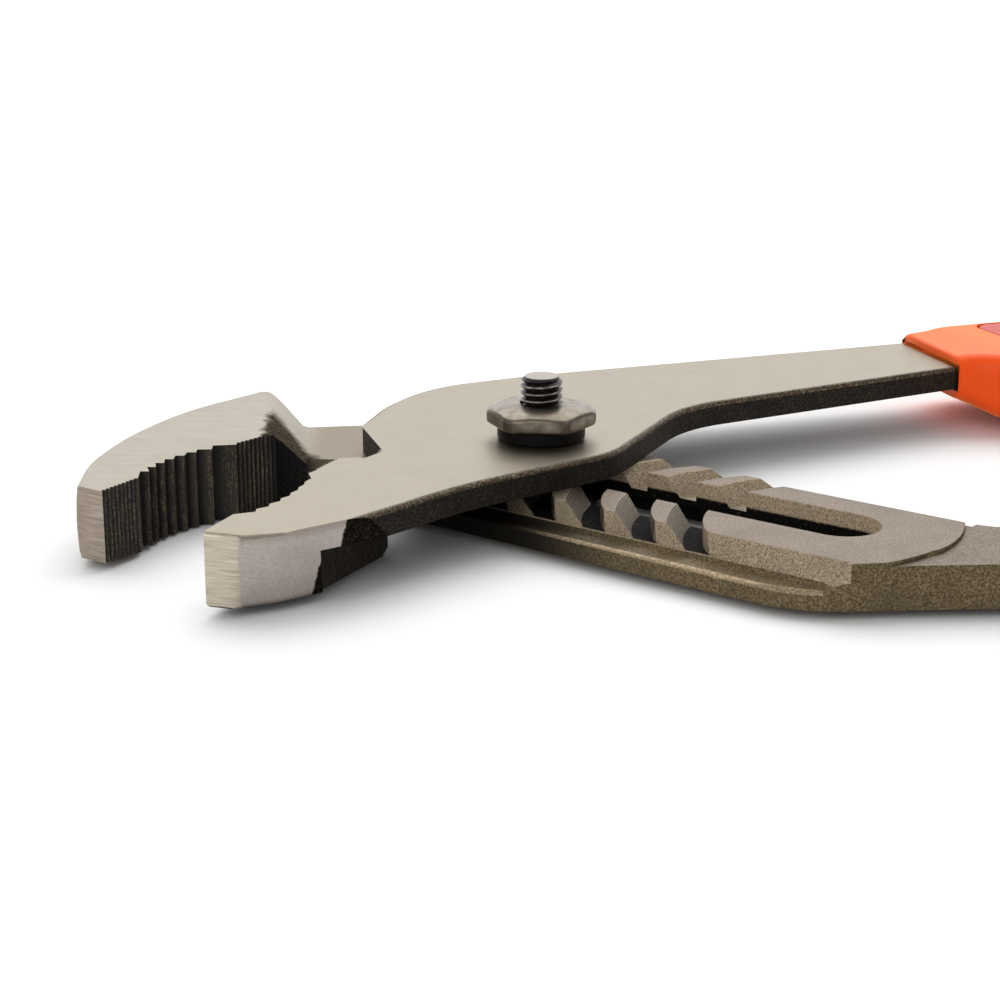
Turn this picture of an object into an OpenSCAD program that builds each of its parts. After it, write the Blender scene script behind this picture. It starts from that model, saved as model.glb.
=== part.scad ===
// Water pump pliers, 250 mm size: two forged arms crossed on a bolt that slides in a grooved slot.
// Millimetres. The origin is on the bolt's axis at the flat underside, +X towards the handles, +Z up.

/* [Build-up] */
// Thickness of the lower arm's base plate, up to the foot of the deck
base_t = 3.2; // [2.9:0.1:3.8]
// Thickness of the ledge beside the deck
ledge_t = 2.6; // [2.2:0.1:2.8]
// Height of the grooved deck over the base plate
deck_h = 3; // [2.4:0.1:3.6]
// Thickness of the upper arm's plate
plate_t = 3.6; // [3:0.1:4.6]
// Thickness of the lower arm's handle bar
lower_bar_t = 5.6; // [4.6:0.1:5.8]
// Depth of the far jaw's rounded belly under the tool's flat underside
belly = 0.9; // [0.4:0.1:1.2]
// Running gap between the deck and the upper arm
lay_gap = 0.05; // [0.02:0.01:0.1]

/* [Slot and grooves] */
// Angle of the slot below the X axis
slot_angle = 37; // [35:0.5:39]
// Width of the slot in the deck
slot_w = 10; // [9:0.5:11]
// Number of settings, one groove for each
settings = 7; // [5:1:7]
// Distance between two settings along the slot
setting_pitch = 8; // [7:0.5:8]
// Radius of a groove's steep wall about its setting
groove_r = 18; // [17:0.5:19]
// Width of a groove's flat floor
groove_floor_w = 2.5; // [2:0.1:3]
// Width of a groove's sloping wall, seen from above
groove_slope_w = 2.3; // [1.6:0.1:2.6]
// Gap between the tongue and its groove on every side
tongue_gap = 0.15; // [0.1:0.05:0.3]
// Angle that the tongue covers about the bolt
tongue_span = 44; // [30:1:46]
// Distance from the slot's middle to the deck's near top edge
deck_near = 13.2; // [12:0.2:14]
// Distance from the slot's middle to the deck's far top edge
deck_far = 10.4; // [9.6:0.2:11]
// Distance from the slot's middle to the far top edge of the teeth between the grooves
teeth_far = 11.8; // [11:0.2:12.2]
// Sideways slope of the deck's near wall over its height
near_draft = 0.8; // [0.4:0.1:1.6]
// Sideways slope of the deck's far wall over its height
far_draft = 2; // [1:0.1:2.4]
// Distance from the slot's middle to the ledge's outer edge, at the neck
ledge_front = 16.8; // [16.4:0.2:17.6]
// Distance from the slot's middle to the ledge's outer edge, at the bar
ledge_out = 17.8; // [17.6:0.2:18.8]

/* [Pivot] */
// Outer diameter of the bolt's thread
thread_d = 6; // [5:0.5:7]
// Pitch of the thread
thread_pitch = 1; // [0.8:0.1:1.25]
// Free length of the bolt above the nut
thread_free = 4.1; // [3:0.1:7]
// Width of the nut across its rounded corners
nut_d = 15.4; // [14.6:0.1:17]
// Width of the nut across its flats
nut_af = 14.2; // [13:0.1:14.4]
// Height of the nut
nut_h = 2.7; // [2.2:0.1:4]
// Outer diameter of the washer
washer_d = 12.4; // [11:0.2:16]
// Thickness of the washer
washer_t = 2.1; // [1:0.1:3]
// Length of the bolt's head along the slot
head_l = 16; // [14:0.5:17]
// Width of the bolt's head between its flats
head_w = 13; // [12:0.2:14]
// Height of the bolt's head
head_t = 2.3; // [1.6:0.1:2.4]
// Clearance of the bolt in the slot, on each side
slide_gap = 0.1; // [0.05:0.01:0.2]
// Clearance of the bolt in the upper arm, on each side
turn_gap = 0.05; // [0.02:0.01:0.1]

/* [Jaws] */
// Pitch of the fine teeth
fine_pitch = 0.78; // [0.7:0.02:1]
// Depth of the fine teeth
fine_depth = 0.45; // [0.3:0.05:0.6]
// Number of even coarse teeth on each jaw
coarse_teeth = 6; // [5:1:8]
// Depth of the coarse teeth
coarse_depth = 1.2; // [0.8:0.1:1.5]
// Hollow of the coarse row, at its middle
coarse_hollow = 0.7; // [0.3:0.1:1.2]
// Run of the ramp from the far jaw's top down to the deck
ramp_run = 4.6; // [3.6:0.2:5.4]
// Lean of the near jaw's ground back
back_lean = 12; // [8:1:16]

/* [Handles] */
// Direction of the upper handle
upper_heading = 22; // [21:0.5:25]
// Direction of the lower handle
lower_heading = -0.5; // [-4:0.5:0]
// Width of the upper bar where its sleeve starts
upper_bar_w = 18.4; // [16:0.2:20]
// Width of the lower bar where its sleeve starts
lower_bar_w = 15; // [14:0.2:17]
// Width of both bars at their ends
bar_end_w = 13; // [10:0.5:14]
// Length of both bars inside their sleeves
bar_len = 108; // [90:1:120]
// Step down of each bar's faces inside its sleeve
tang_step = 0.3; // [0.2:0.05:0.5]

/* [Sleeves] */
// Wall of the sleeve over the bar's faces, at its mouth
mouth_wall = 1.9; // [1.4:0.1:2.4]
// Full thickness of the sleeve along the grip
grip_h = 11.2; // [10:0.2:12]
// Shift of the grip's middle from the bar towards the tool's middle plane
grip_shift = 1.6; // [0.6:0.1:2]
// Wall of the sleeve beside the bar, at its mouth
mouth_side = 1; // [0.8:0.1:1.6]
// Wall of the sleeve beside the bar, along the grip
side_wall = 2.2; // [1.6:0.1:3]
// Closed end of the sleeve beyond the bar
end_wall = 5; // [3:0.5:8]
// Slant of the sleeve's mouth, whose inner side starts first
mouth_slant = 5; // [0:1:6]
// Height of the thumb stop on the inner side
stop_h = 6.5; // [2:0.5:8]
// Distance from the mouth to the inlaid panels
panel_start = 13; // [12:1:20]
// Distance from the panels to the sleeve's end
panel_end_gap = 12; // [9:1:24]
// Margin beside the panels
panel_margin = 3.4; // [3.2:0.2:5]
// Thickness of the panels
panel_t = 0.9; // [0.6:0.1:1.2]
// Width of the shadow line round a panel
panel_gap = 0.35; // [0.2:0.05:0.6]
// Gap between the bar and its sleeve
sleeve_fit = 0.05; // [0.02:0.01:0.1]

/* [Hidden] */
$fn = 64;

// Small overshoot of a cutting shape past the face that it cuts
over = 1;
// Reach of a cutting shape past the whole tool
far_out = 40;
// Turn between two points of a rounded corner
corner_step = 4;
deck_z = base_t + deck_h;
// Level of the grooves' floors, a little over the ledge
groove_z = base_t + 0.2;
// Width of the base's lip at the foot of the deck's far wall
far_lip = 0.4;
plate_z = deck_z + lay_gap;
top_z = plate_z + plate_t;
travel = (settings - 1) * setting_pitch;
shoulder_d = slot_w - 2 * slide_gap;
shoulder_z = top_z + lay_gap;
nut_z = shoulder_z + washer_t;
thread_top = nut_z + nut_h + thread_free;
sleeve_len = bar_len + end_wall;

// A point at a distance along the slot from the bolt, and off to its far side
function tn(along, across) = [along * cos(slot_angle) + across * sin(slot_angle),
                              across * cos(slot_angle) - along * sin(slot_angle)];
function unit(v) = v / norm(v);
function flat(p) = [p.x, p.y];
function angle_of(v) = atan2(v.y, v.x);
function turn(a) = a > 180 ? a - 360 : a < -180 ? a + 360 : a;
function smooth(s) = let (c = min(1, max(0, s))) c * c * (3 - 2 * c);

// The points that round the corner b between a and c, no wider than its sides allow
function corner(a, b, c, r) =
    let (u = unit(a - b), w = unit(c - b), half = acos(u * w) / 2,
         reach = min(r / tan(half), 0.48 * norm(a - b), 0.48 * norm(c - b)),
         centre = b + unit(u + w) * reach / cos(half),
         from = angle_of(b + u * reach - centre),
         sweep = turn(angle_of(b + w * reach - centre) - from),
         steps = max(1, ceil(abs(sweep) / corner_step)))
    [for (i = [0:steps]) let (a = from + sweep * i / steps) centre + reach * tan(half) * [cos(a), sin(a)]];

// An outline from corners [x, y] or, where rounded, [x, y, radius]
function rounded(p) = let (n = len(p))
    [for (i = [0:n - 1]) each len(p[i]) < 3 ? [p[i]]
        : corner(flat(p[(i + n - 1) % n]), flat(p[i]), flat(p[(i + 1) % n]), p[i][2])];

// A row of fine teeth from a to b, cut into the metal on the left of the row
function fine_row(a, b) =
    let (n = round(norm(b - a) / fine_pitch), d = unit(b - a), into = [-d.y, d.x] * fine_depth)
    [for (i = [0:n - 1]) each [a + (b - a) * i / n, a + (b - a) * (i + 0.5) / n + into]];

// The tips of a coarse row from a to b, hollowed to the left
function coarse_tips(a, b) =
    let (d = unit(b - a), into = [-d.y, d.x] * coarse_hollow)
    [for (i = [0:coarse_teeth - 1]) let (s = i / (coarse_teeth - 1))
        a + (b - a) * s + into * 4 * s * (1 - s)];

// Far jaw: its tooth line runs from the tip to the throat
far_tip = [-57.3, -26.3];
far_front = [-53.6, -20.4];
far_coarse_a = [-52.6, -17.1];
far_coarse_b = [-47.6, -7.8];
far_wide = [[-47.6, -6.3], [-45.6, -6.2], [-45.7, -4.3], [-42.5, -3.8]];
far_rear = [-42.5, -3.3];
far_throat = [-37.7, 2.1];
far_heel = [-41.4, 27.6];
far_back = [[far_heel.x, far_heel.y, 1.5], [-52.1, 16.3, 60], [-58.8, 1.4, 60], [-62, -13, 60],
            [-61.4, -23.6, 0.6]];
far_teeth = concat(fine_row(far_tip, far_front), [far_front],
    [for (p = coarse_tips(far_coarse_a, far_coarse_b)) each [p - [coarse_depth, 0], p]], far_wide,
    fine_row(far_rear, far_throat), [far_throat]);

// Neck of the lower arm: the line where the ramp of the far jaw meets the deck
ramp_foot = [-33, -1.4];
ramp_foot_end = [-35, 18.8];

// Near jaw: its tooth line runs from the throat to the tip
near_throat = [-28.1, -10.8];
near_rear = [-30.8, -16.6];
near_wide = [[-31.3, -18], [-30.7, -20.4]];
near_coarse_a = [-31.4, -22];
near_coarse_b = [-36.5, -34];
near_chamfer = [-39.2, -36.3];
near_tip = [-42, -43.4];
near_end = [-37.5, -44.8];
near_teeth = concat(fine_row(near_throat, near_rear), near_wide,
    [for (p = coarse_tips(near_coarse_a, near_coarse_b)) each [p, p - [0, coarse_depth]]],
    [near_chamfer, near_tip]);
// Swing of the upper arm from the pose shown until its jaw is shut
shut_angle = 22;
// Clearance of the near jaw's lower block past the ledge, with the jaws shut
shut_gap = 0.2;
// Radius about the bolt that the near jaw's lower block keeps outside of
block_r = 28.5;
block_corner = [-20.8, -19.5];

// Middle of each sleeve's mouth, seen from above
upper_mouth = [64.3, 51.1];
lower_mouth = [76, -35.3];
upper_mid_z = plate_z + plate_t / 2;
lower_mid_z = lower_bar_t / 2;

// A point in a handle's own frame, along it from the mouth and off to its left
function on_handle(mouth, heading, along, left) =
    mouth + [along * cos(heading) - left * sin(heading), along * sin(heading) + left * cos(heading)];

// The corners of a handle's bar, round its end from right to left
function bar(mouth, heading, w) = [
    for (p = [[0, -w / 2], [bar_len, -bar_end_w / 2, 5], [bar_len, bar_end_w / 2, 5], [0, w / 2]])
        concat(on_handle(mouth, heading, p.x, p.y), len(p) > 2 ? [p[2]] : [])];

// Outline of the upper arm's plate
upper_outline = rounded(concat(
    [[near_end.x, near_end.y, 1.2], [-28, -43, 12], [-10, -23, 60], [10, -8, 14], [21.6, 17.3, 20]],
    bar(upper_mouth, upper_heading, upper_bar_w),
    [[0, 37.5, 60], [-16.4, 29.6, 30], [-23.5, 16.6, 40], [-25.6, 6, 4]],
    [[-22.6, -7.2, 2.2], [-24.6, -10.2, 2]],
    near_teeth));

// Outline of the near jaw's block under the plate, whose inner side is round about the bolt
block_from = angle_of(block_corner);
// Turn about the bolt by which the block's inner side stops short of the throat
throat_turn = 1.5;
block_sweep = turn(angle_of(near_throat) + throat_turn - block_from);
block_outline = rounded(concat(
    [[near_end.x, near_end.y, 1.2], [-28.2, -42.4, 2], [-27.9, -36.8, 2], [-21.4, -24.5, 4], block_corner],
    [for (i = [0:6]) let (a = block_from + block_sweep * i / 6) block_r * [cos(a), sin(a)]],
    near_teeth));

// Outline of the lower arm
neck_near = [-28.4, 1.4];
far_out_n = teeth_far + far_draft + far_lip;
// Ends of the ledge's outer edge along the slot
edge_from = -20.8;
edge_to = 51.8;
lower_outline = rounded(concat(far_teeth,
    [[-33, 1.6, 2], [neck_near.x, neck_near.y, 2], concat(tn(edge_from, -ledge_front), [1.5])],
    [concat(tn(edge_to, -ledge_out), [20]), [44, -44.4, 40]],
    bar(lower_mouth, lower_heading, lower_bar_w),
    [[60, -28, 20], [55.6, -27.2, 2], concat(tn(50, far_out_n), [10]), concat(tn(-2, far_out_n), [14])],
    [[-26.5, 20, 8], [ramp_foot_end.x, ramp_foot_end.y, 2]],
    far_back, [far_tip]));

// A shape laid along the slot, its X along the slot from the bolt
module along_slot() {
    rotate([0, 0, -slot_angle]) children();
}

// A slot with round ends about the bolt's first and last settings
module round_slot(w, z0, z1) {
    translate([0, -w / 2, z0]) cube([travel, w, z1 - z0]);
    for (x = [0, travel]) translate([x, 0, z0]) cylinder(d = w, h = z1 - z0);
}

// A prism along the slot whose section is drawn across it and up
module across_prism(from, to, section) {
    translate([from, 0, 0]) rotate([90, 0, 90]) linear_extrude(to - from) polygon(section);
}

// Curved groove about one setting, its steep wall towards the bolt
module groove(gap, floor_z, roof_z, from, span) {
    slope = groove_slope_w * (roof_z - floor_z) / deck_h;
    rotate([0, 0, from]) rotate_extrude(angle = span) polygon([
        [groove_r + gap, floor_z], [groove_r + groove_floor_w - gap, floor_z],
        [groove_r + groove_floor_w + slope - gap, roof_z], [groove_r + gap, roof_z]]);
}

// Steps both faces of a bar down where its sleeve covers it, along the slant of the sleeve's mouth
module tang_cut(mouth, mouth_turn, z0, z1) {
    translate([mouth.x, mouth.y, 0]) rotate([0, 0, mouth_turn])
        for (z = [z0 - over, z1 - tang_step])
            translate([-sleeve_fit, -far_out, z]) cube([bar_len + far_out, 2 * far_out, tang_step + over]);
}

// Section of the metal that is cut away beside the deck's far wall
function far_wall(edge) = [[edge, deck_z + over], [edge, deck_z], [edge + far_draft, base_t],
                           [far_out, base_t], [far_out, deck_z + over]];

module lower_arm() color("#8f8675") {
    // Width of the step from the deck's foot down to the ledge
    foot_step = 0.5;
    ledge_cut = [[-deck_near, deck_z + over], [-deck_near, deck_z], [-deck_near - near_draft, base_t],
                 [-deck_near - near_draft - foot_step, ledge_t], [-far_out, ledge_t],
                 [-far_out, deck_z + over]];
    // Ends of the ledge, of the last tooth, of the far wall and of the deck, along the slot
    ledge_from = -19;
    ledge_to = 56;
    teeth_to = travel - 17;
    far_wall_to = 61;
    deck_end_r = 22;
    deck_end = travel + 14.8;
    groove_reach = 60;
    difference() {
        union() {
            linear_extrude(deck_z) polygon(lower_outline);
            far_jaw_top();
            far_jaw_belly();
        }
        along_slot() {
            across_prism(ledge_from, ledge_to, ledge_cut);
            across_prism(-2, teeth_to, far_wall(teeth_far));
            across_prism(teeth_to, far_wall_to, far_wall(deck_far));
            translate([0, 0, -over]) round_slot(slot_w, 0, deck_z + 2 * over);
            head_channel();
            for (i = [0:settings - 1]) translate([i * setting_pitch, 0, 0])
                groove(0, groove_z, deck_z + over, 180 - groove_reach, 2 * groove_reach);
            difference() {
                translate([travel, -far_out, lower_bar_t]) cube([4 * far_out, 2 * far_out, far_out]);
                translate([deck_end - deck_end_r, 0, 0]) cylinder(r = deck_end_r, h = far_out, $fn = 128);
            }
        }
        tang_cut(lower_mouth, lower_heading + mouth_slant, 0, lower_bar_t);
    }
}

// Outline of the far jaw as far as the foot of its ramp
far_outline = rounded(concat(far_teeth, [ramp_foot, ramp_foot_end], far_back, [far_tip]));

// Rounded underside of the far jaw, a shallow barrel across its length
module far_jaw_belly() {
    middle = [-48, -6];
    half_length = 21;
    barrel_r = (half_length * half_length + belly * belly) / (2 * belly);
    intersection() {
        translate([0, 0, -far_out]) linear_extrude(far_out + over) polygon(far_outline);
        translate([middle.x, middle.y, barrel_r - belly])
            rotate([0, 0, angle_of(far_throat - far_tip)]) rotate([90, 0, 0])
                cylinder(r = barrel_r, h = 4 * far_out, center = true, $fn = 180);
    }
}

// Upper half of the far jaw, with the ramp down to the neck
module far_jaw_top() {
    ramp_dir = ramp_foot_end - ramp_foot;
    ramp_angle = atan2(top_z - deck_z, ramp_run);
    difference() {
        linear_extrude(top_z) polygon(far_outline);
        translate([ramp_foot.x, ramp_foot.y, deck_z])
            rotate([0, 0, angle_of(ramp_dir)]) rotate([ramp_angle, 0, 0])
                translate([-far_out, -far_out, 0]) cube([3 * far_out, 2 * far_out, far_out]);
    }
}

// Channel under the slot for the bolt's head
module head_channel() {
    side = head_w / 2 + 2 * slide_gap;
    end = head_l / 2 + 2 * slide_gap;
    translate([-end, -side, -over]) cube([travel + 2 * end, 2 * side, head_t + slide_gap + over]);
}

module upper_arm() color("#c4bcb0") {
    difference() {
        union() {
            translate([0, 0, plate_z]) linear_extrude(plate_t) polygon(upper_outline);
            near_jaw_block();
            tongue();
        }
        translate([0, 0, -over]) cylinder(d = shoulder_d + 2 * turn_gap, h = top_z + 2 * over);
        ground_back();
        tang_cut(upper_mouth, upper_heading - mouth_slant, plate_z, top_z);
    }
}

// Full height of the near jaw under the plate, cut back where it passes the ledge as the jaws shut
module near_jaw_block() {
    difference() {
        linear_extrude(plate_z + over) polygon(block_outline);
        rotate([0, 0, shut_angle]) along_slot()
            translate([-far_out, -ledge_out - shut_gap, -over])
                cube([2 * far_out, far_out, plate_z + over]);
    }
}

// Curved key under the plate that sits in one groove and swings out past the deck's near wall
module tongue() {
    start = 182 - tongue_span / 2 - slot_angle + 20;
    groove(tongue_gap, groove_z + tongue_gap, plate_z + over, start, tongue_span);
}

// Leaning faces ground on the back of the near jaw, each from a point of its foot and the foot's direction
module ground_back() {
    for (face = [[-38.9, -43.4, 14], [-31, -40.4, 36]])
        translate([face.x, face.y, 0]) rotate([0, 0, face[2]]) rotate([back_lean, 0, 0])
            translate([-far_out / 4, -far_out, -far_out / 2]) cube([far_out, far_out, far_out]);
}

module pivot_bolt() color("#3c3a38") {
    head = head_t - over / 4;
    core = thread_d - 1.2 * thread_pitch;
    turns = floor((thread_top - shoulder_z) / thread_pitch - 0.5);
    along_slot() intersection() {
        cylinder(d = head_l, h = head_t);
        translate([-head_l, -head_w / 2, -over]) cube([2 * head_l, head_w, head_t + 2 * over]);
    }
    translate([0, 0, head]) cylinder(d = shoulder_d, h = shoulder_z - head);
    rotate_extrude() polygon(concat(
        [[0, head], [core / 2, head]],
        [for (i = [0:turns - 1]) let (z = shoulder_z + i * thread_pitch) each [
            [core / 2, z], [thread_d / 2, z + 0.44 * thread_pitch],
            [thread_d / 2, z + 0.56 * thread_pitch], [core / 2, z + thread_pitch]]],
        [[thread_d / 2 - 0.5 * thread_pitch, thread_top - 0.5 * thread_pitch],
         [core / 2, thread_top], [0, thread_top]]));
}

module pivot_washer() color("#1d1c1b") {
    edge = 0.3;
    bore = thread_d / 2 + 2 * turn_gap;
    translate([0, 0, shoulder_z]) rotate_extrude() polygon([
        [bore, 0], [washer_d / 2 - edge, 0], [washer_d / 2, edge], [washer_d / 2, washer_t - edge],
        [washer_d / 2 - edge, washer_t], [bore, washer_t]]);
}

module pivot_nut() color("#a7a29a") {
    // Turned bevel round the corners: its width and height
    bevel_w = 1;
    bevel_h = 0.55;
    // Turn of the flats about the bolt
    flats_turn = 24;
    bore = thread_d / 2 + turn_gap;
    translate([0, 0, nut_z]) intersection() {
        rotate_extrude() polygon([
            [bore, 0], [nut_d / 2 - bevel_w, 0], [nut_d / 2, bevel_h], [nut_d / 2, nut_h - bevel_h],
            [nut_d / 2 - bevel_w, nut_h], [bore, nut_h]]);
        rotate([0, 0, flats_turn + 30]) translate([0, 0, -over])
            cylinder(d = nut_af / cos(30), h = nut_h + 2 * over, $fn = 6);
    }
}

// Places a sleeve's own frame: X along the bar from the mouth, +Y on the inner side and +Z to
// the middle plane. The upper handle's frame is the lower one's turned half way round the bar.
module at_handle(mouth, heading, mid_z, half_turn) {
    translate([mouth.x, mouth.y, mid_z]) rotate([0, 0, heading]) rotate([half_turn, 0, 0]) children();
}

// Half width of the bar at a distance from the mouth
function bar_half(w, x) = (w + (bar_end_w - w) * min(1, max(0, x / bar_len))) / 2;
// Bulge of the thumb stop at a distance from the mouth
function stop_at(x) = stop_h * smooth((x - 1) / 9) * (1 - smooth((x - 10) / 22));
// Share of the full section left at a distance from the mouth, over the round end
function end_share(x) = let (r = 9, d = max(0, x - sleeve_len + r) / r) sqrt(max(0.04, 1 - d * d));
// Slant left at a distance from the mouth, as a shift along the bar for each millimetre across it
function slant_at(x) = tan(mouth_slant) * (1 - smooth(x / 12));
// Share of the swell from the mouth to the grip
function swell(x) = smooth((x + 1) / 10);
// Half thickness of the sleeve at a distance from the mouth
function grip_half(bar_t, x) =
    let (mouth = min(bar_t / 2 - tang_step + mouth_wall, grip_h / 2 - grip_shift))
    (mouth + (grip_h / 2 - mouth) * swell(x)) * (0.55 + 0.45 * end_share(x));
// Half width of the sleeve without its thumb stop
function grip_side(w, x) = let (wall = mouth_side + (side_wall - mouth_side) * swell(x))
    (bar_half(w, x) + wall) * end_share(x);

// One section of the sleeve: a rectangle with round corners, 7 points on each
function sleeve_ring(w, bar_t, x) =
    let (h = grip_half(bar_t, x), right = grip_side(w, x), left = right + stop_at(x),
         mid = grip_shift * swell(x), r = min(3.2, 0.7 * h, 0.7 * right))
    [for (q = [0:3]) for (k = [0:6])
        let (a = 90 * q + 15 * k, z = q < 2 ? h - r : r - h,
             y = (q == 0 || q == 3 ? left - r : r - right) + r * cos(a))
        [x - y * slant_at(x), y, mid + z + r * sin(a)]];

// Stations along the sleeve, closer at the mouth and the end
function stations() = concat([for (x = [0:2:34]) x], [for (x = [42:12:sleeve_len - 16]) x],
                             [for (i = [0:6]) sleeve_len - 9 * (1 - sin(15 * i))]);

module sleeve_skin(w, bar_t) {
    xs = stations();
    n = 28;
    last = len(xs) - 1;
    points = [for (x = xs) each sleeve_ring(w, bar_t, x)];
    sides = [for (s = [0:last - 1]) for (k = [0:n - 1]) let (a = s * n + k, b = s * n + (k + 1) % n)
        each [[a, b, b + n], [a, b + n, a + n]]];
    caps = [for (k = [1:n - 2]) each [[0, k + 1, k], [last * n, last * n + k, last * n + k + 1]]];
    polyhedron(points, concat(sides, caps));
}

// Outline of a panel, or of its pocket where grown
function panel_outline(w, grow) =
    let (x0 = panel_start - grow, x1 = sleeve_len - panel_end_gap + grow,
         y0 = bar_half(w, panel_start) + side_wall - panel_margin + grow,
         y1 = bar_half(w, sleeve_len - panel_end_gap) + side_wall - panel_margin + grow)
    rounded([[x0, -y0, 3], [x1, -y1, 4], [x1, y1, 4], [x0, y0, 3]]);

module sleeve(w, bar_t) color("#e8562c") {
    hollow = [for (p = [[-over, -w / 2], [0, -w / 2], [bar_len, -bar_end_w / 2], [bar_len, bar_end_w / 2],
                        [0, w / 2], [-over, w / 2]])
        [p.x + (p.x > 0 ? sleeve_fit : 0), p.y + sign(p.y) * sleeve_fit]];
    hollow_t = bar_t - 2 * tang_step + 2 * sleeve_fit;
    difference() {
        sleeve_skin(w, bar_t);
        translate([0, 0, -hollow_t / 2]) linear_extrude(hollow_t) polygon(hollow);
        for (under = [0, 1])
            on_face(under) linear_extrude(panel_t + over) polygon(panel_outline(w, panel_gap));
    }
}

// Softer inlay of a sleeve's face, flush with the sleeve's own surface
module panel(w, under) color("#c23c34") {
    on_face(under) linear_extrude(panel_t) polygon(panel_outline(w, 0));
}

// Places the floor of a panel's pocket, on the outer face of the grip or under it
module on_face(under) {
    translate([0, 0, grip_shift]) mirror([0, 0, under]) translate([0, 0, grip_h / 2 - panel_t]) children();
}

module on_lower() at_handle(lower_mouth, lower_heading, lower_mid_z, 0) children();
module on_upper() at_handle(upper_mouth, upper_heading, upper_mid_z, 180) children();

module lower_sleeve() on_lower() sleeve(lower_bar_w, lower_bar_t);
module lower_panel_top() on_lower() panel(lower_bar_w, 0);
module lower_panel_bottom() on_lower() panel(lower_bar_w, 1);
module upper_sleeve() on_upper() sleeve(upper_bar_w, plate_t);
module upper_panel_top() on_upper() panel(upper_bar_w, 1);
module upper_panel_bottom() on_upper() panel(upper_bar_w, 0);

lower_arm();
upper_arm();
pivot_bolt();
pivot_washer();
pivot_nut();
lower_sleeve();
lower_panel_top();
lower_panel_bottom();
upper_sleeve();
upper_panel_top();
upper_panel_bottom();
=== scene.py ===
import math

import bmesh
import bpy
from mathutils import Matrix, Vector


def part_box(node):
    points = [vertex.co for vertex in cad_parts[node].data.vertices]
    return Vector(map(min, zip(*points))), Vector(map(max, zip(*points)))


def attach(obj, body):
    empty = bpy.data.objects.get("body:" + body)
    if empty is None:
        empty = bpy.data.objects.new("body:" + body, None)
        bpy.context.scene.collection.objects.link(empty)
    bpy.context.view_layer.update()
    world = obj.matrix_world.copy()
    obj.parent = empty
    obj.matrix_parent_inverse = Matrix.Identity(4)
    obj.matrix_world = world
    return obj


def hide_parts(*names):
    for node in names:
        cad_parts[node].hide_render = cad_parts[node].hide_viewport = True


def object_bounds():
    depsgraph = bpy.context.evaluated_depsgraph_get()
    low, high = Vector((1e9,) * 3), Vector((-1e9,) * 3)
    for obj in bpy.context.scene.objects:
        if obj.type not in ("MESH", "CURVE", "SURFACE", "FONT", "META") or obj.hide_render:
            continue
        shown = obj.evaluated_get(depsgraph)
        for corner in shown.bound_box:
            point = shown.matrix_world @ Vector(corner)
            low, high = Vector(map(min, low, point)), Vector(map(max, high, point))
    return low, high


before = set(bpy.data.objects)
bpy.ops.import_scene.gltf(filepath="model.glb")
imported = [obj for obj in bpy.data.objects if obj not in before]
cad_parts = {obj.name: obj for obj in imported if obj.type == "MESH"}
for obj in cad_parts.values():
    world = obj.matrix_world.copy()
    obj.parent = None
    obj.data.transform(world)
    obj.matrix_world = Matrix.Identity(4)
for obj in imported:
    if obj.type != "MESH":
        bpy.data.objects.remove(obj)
cad_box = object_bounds()

# Lower arm: one drop forging of carbon steel with the far jaw, the grooved deck and the lower bar.
# It is blasted after forging; the jaw's top, end and ramp are then ground bright, the grooves are
# milled and the teeth broached, and painted shade blackens the slot and the corners.
MM = 0.001
SLOT_TURN = math.radians(37)
DECK_TOP, JAW_TOP, LEDGE_TOP, BAR_TOP = 6.2, 9.85, 2.6, 5.6


def pick_only(piece):
    bpy.ops.object.select_all(action="DESELECT")
    piece.select_set(True)
    bpy.context.view_layer.objects.active = piece


def merged_copy(node, name):
    """A new piece from a CAD node's mesh, its loose triangles merged into whole flat faces."""
    piece = bpy.data.objects.new(name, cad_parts[node].data.copy())
    bpy.context.scene.collection.objects.link(piece)
    pick_only(piece)
    bpy.ops.mesh.customdata_custom_splitnormals_clear()
    bpy.ops.object.mode_set(mode="EDIT")
    bpy.ops.mesh.select_all(action="SELECT")
    bpy.ops.mesh.remove_doubles(threshold=0.002 * MM)
    bpy.ops.mesh.dissolve_limited(angle_limit=math.radians(0.4), delimit={"NORMAL"})
    bpy.ops.object.mode_set(mode="OBJECT")
    piece.data.materials.clear()
    return piece


def select_faces(piece, wanted):
    """Starts an edit with only the faces that wanted picks by their middle in mm and their normal."""
    pick_only(piece)
    for part in (*piece.data.vertices, *piece.data.edges):
        part.select = False
    for face in piece.data.polygons:
        face.select = wanted(face.center / MM, face.normal)
    bpy.context.tool_settings.mesh_select_mode = (False, False, True)
    bpy.ops.object.mode_set(mode="EDIT")


def select_edges(piece, wanted, least_angle):
    """Starts an edit with only the edges sharper than an angle whose two ends in mm wanted picks."""
    shape = bmesh.new()
    shape.from_mesh(piece.data)
    for part in (*shape.verts, *shape.edges, *shape.faces):
        part.select = False
    for edge in shape.edges:
        sharp = len(edge.link_faces) == 2 and edge.calc_face_angle() > math.radians(least_angle)
        if sharp and wanted(edge.verts[0].co / MM, edge.verts[1].co / MM):
            edge.select_set(True)
    shape.to_mesh(piece.data)
    shape.free()
    pick_only(piece)
    bpy.context.tool_settings.mesh_select_mode = (False, True, False)
    bpy.ops.object.mode_set(mode="EDIT")


def round_edges(piece, width, steps, wanted, finish=-1, least_angle=25):
    """Bevels edges to a width in mm, and gives the bevel one of the piece's finishes."""
    select_edges(piece, wanted, least_angle)
    bpy.ops.mesh.bevel(offset=width * MM, segments=steps, clamp_overlap=False, material=finish)
    bpy.ops.object.mode_set(mode="OBJECT")


def cut(piece, wanted, point, across, **ends):
    """Cuts the wanted faces along the plane through a point in mm that lies square to across."""
    select_faces(piece, wanted)
    bpy.ops.mesh.bisect(plane_co=[c * MM for c in point], plane_no=across, **ends)
    bpy.ops.object.mode_set(mode="OBJECT")


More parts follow.
